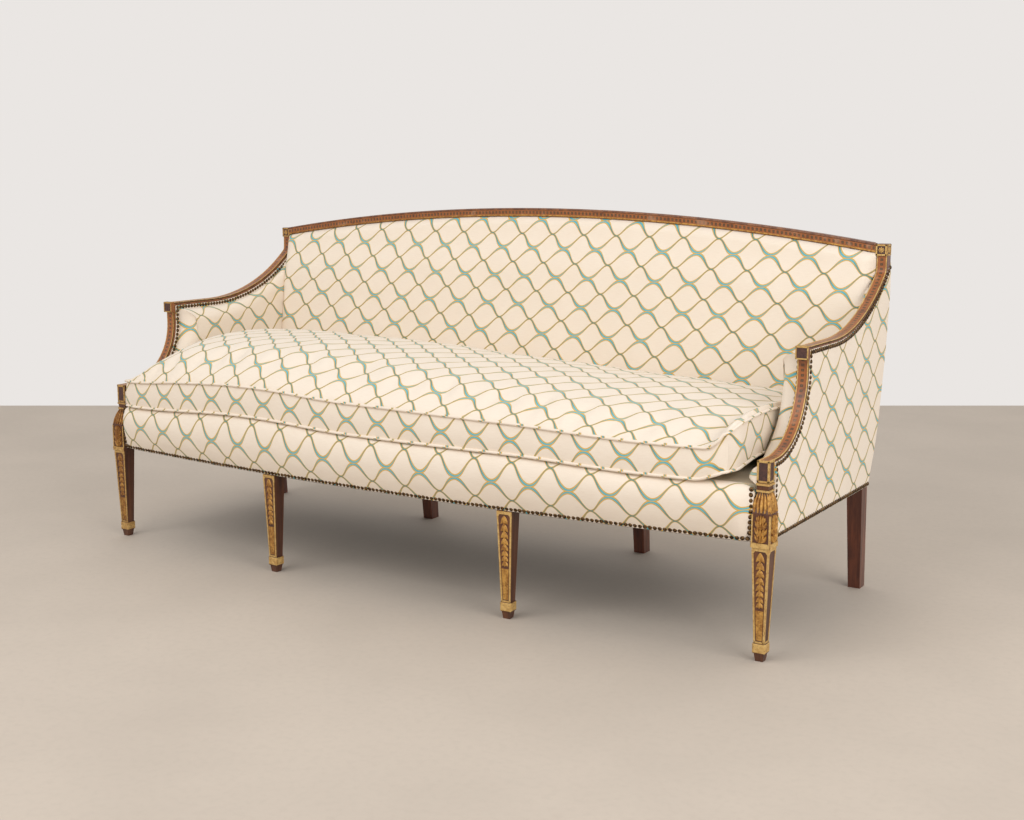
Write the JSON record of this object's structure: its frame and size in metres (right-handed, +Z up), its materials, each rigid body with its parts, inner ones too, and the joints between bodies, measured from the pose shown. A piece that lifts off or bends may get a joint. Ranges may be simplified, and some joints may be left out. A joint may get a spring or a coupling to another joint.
{
  "type": "sofa",
  "caption": "Arched-back upholstered sofa with swept show-wood arms, bowed front, straight tapered painted legs and a loose bench cushion in an ogee trellis fabric.",
  "frame": {"origin": "on the floor under the middle of the sofa's bounding box", "axes": "+X along the sofa to the right as seen from the front, +Y from front to back, +Z up"},
  "size_m": [1.943, 0.825, 0.909],
  "materials": {
    "painted_gilt_wood": "painted and gilded, satin, worn",
    "dark_mahogany": "satin varnish",
    "beech": "plain sawn",
    "trellis_fabric": "woven cream ground with an ogee trellis",
    "hessian": "plain woven jute",
    "jute_webbing": "herringbone webbing",
    "wadding": "cotton felt",
    "deck_cloth": "plain cream lining",
    "black_cambric": "plain woven",
    "zip_tape": "woven tape",
    "antique_brass": "dark antique finish",
    "spring_steel": "bright drawn wire"
  },
  "bodies": {
    "frame": {"arm_rail_left": "painted_gilt_wood", "arm_rail_right": "painted_gilt_wood", "arm_support_left": "painted_gilt_wood", "arm_support_right": "painted_gilt_wood", "arm_tack_rail_left": "beech", "arm_tack_rail_right": "beech", "back_hessian": "hessian", "back_stile_left": "beech", "back_stile_right": "beech", "back_webbing": "jute_webbing", "corner_block_screws": "spring_steel", "crest_nails": "antique_brass", "crest_rail": "painted_gilt_wood", "dust_cover": "black_cambric", "frame_dowels": "beech", "front_border": "trellis_fabric", "front_border_nails": "antique_brass", "front_corner_block_left": "beech", "front_corner_block_right": "beech", "front_leg_left": "painted_gilt_wood", "front_leg_right": "painted_gilt_wood", "front_middle_leg_left": "painted_gilt_wood", "front_middle_leg_right": "painted_gilt_wood", "front_seat_rail": "beech", "inside_arm_nails_left": "antique_brass", "inside_arm_nails_right": "antique_brass", "inside_arm_pad_left": "trellis_fabric", "inside_arm_pad_right": "trellis_fabric", "inside_back_pad": "trellis_fabric", "lower_back_rail": "beech", "outside_arm_cover_left": "trellis_fabric", "outside_arm_cover_right": "trellis_fabric", "outside_arm_nails_left": "antique_brass", "outside_arm_nails_right": "antique_brass", "outside_back_cover": "trellis_fabric", "outside_back_nails": "antique_brass", "rear_corner_block_left": "beech", "rear_corner_block_right": "beech", "rear_middle_leg_left": "dark_mahogany", "rear_middle_leg_right": "dark_mahogany", "rear_post_left": "dark_mahogany", "rear_post_right": "dark_mahogany", "rear_seat_rail": "beech", "seat_crossbar_left": "beech", "seat_crossbar_right": "beech", "seat_deck_cloth": "deck_cloth", "seat_hessian": "hessian", "seat_spring_clips": "spring_steel", "seat_springs": "spring_steel", "seat_stuffing": "wadding", "side_seat_rail_left": "beech", "side_seat_rail_right": "beech"},
    "seat_cushion": {"cushion_cover": "trellis_fabric", "cushion_fill": "wadding", "cushion_top_welt": "trellis_fabric", "cushion_bottom_welt": "trellis_fabric", "cushion_zip": "zip_tape"}
  },
  "joints": [
    {"name": "cushion_lift", "type": "slide", "parent": "frame", "child": "seat_cushion", "axis": [0, 0, 1], "range_m": [0, 0.55]}
  ]
}
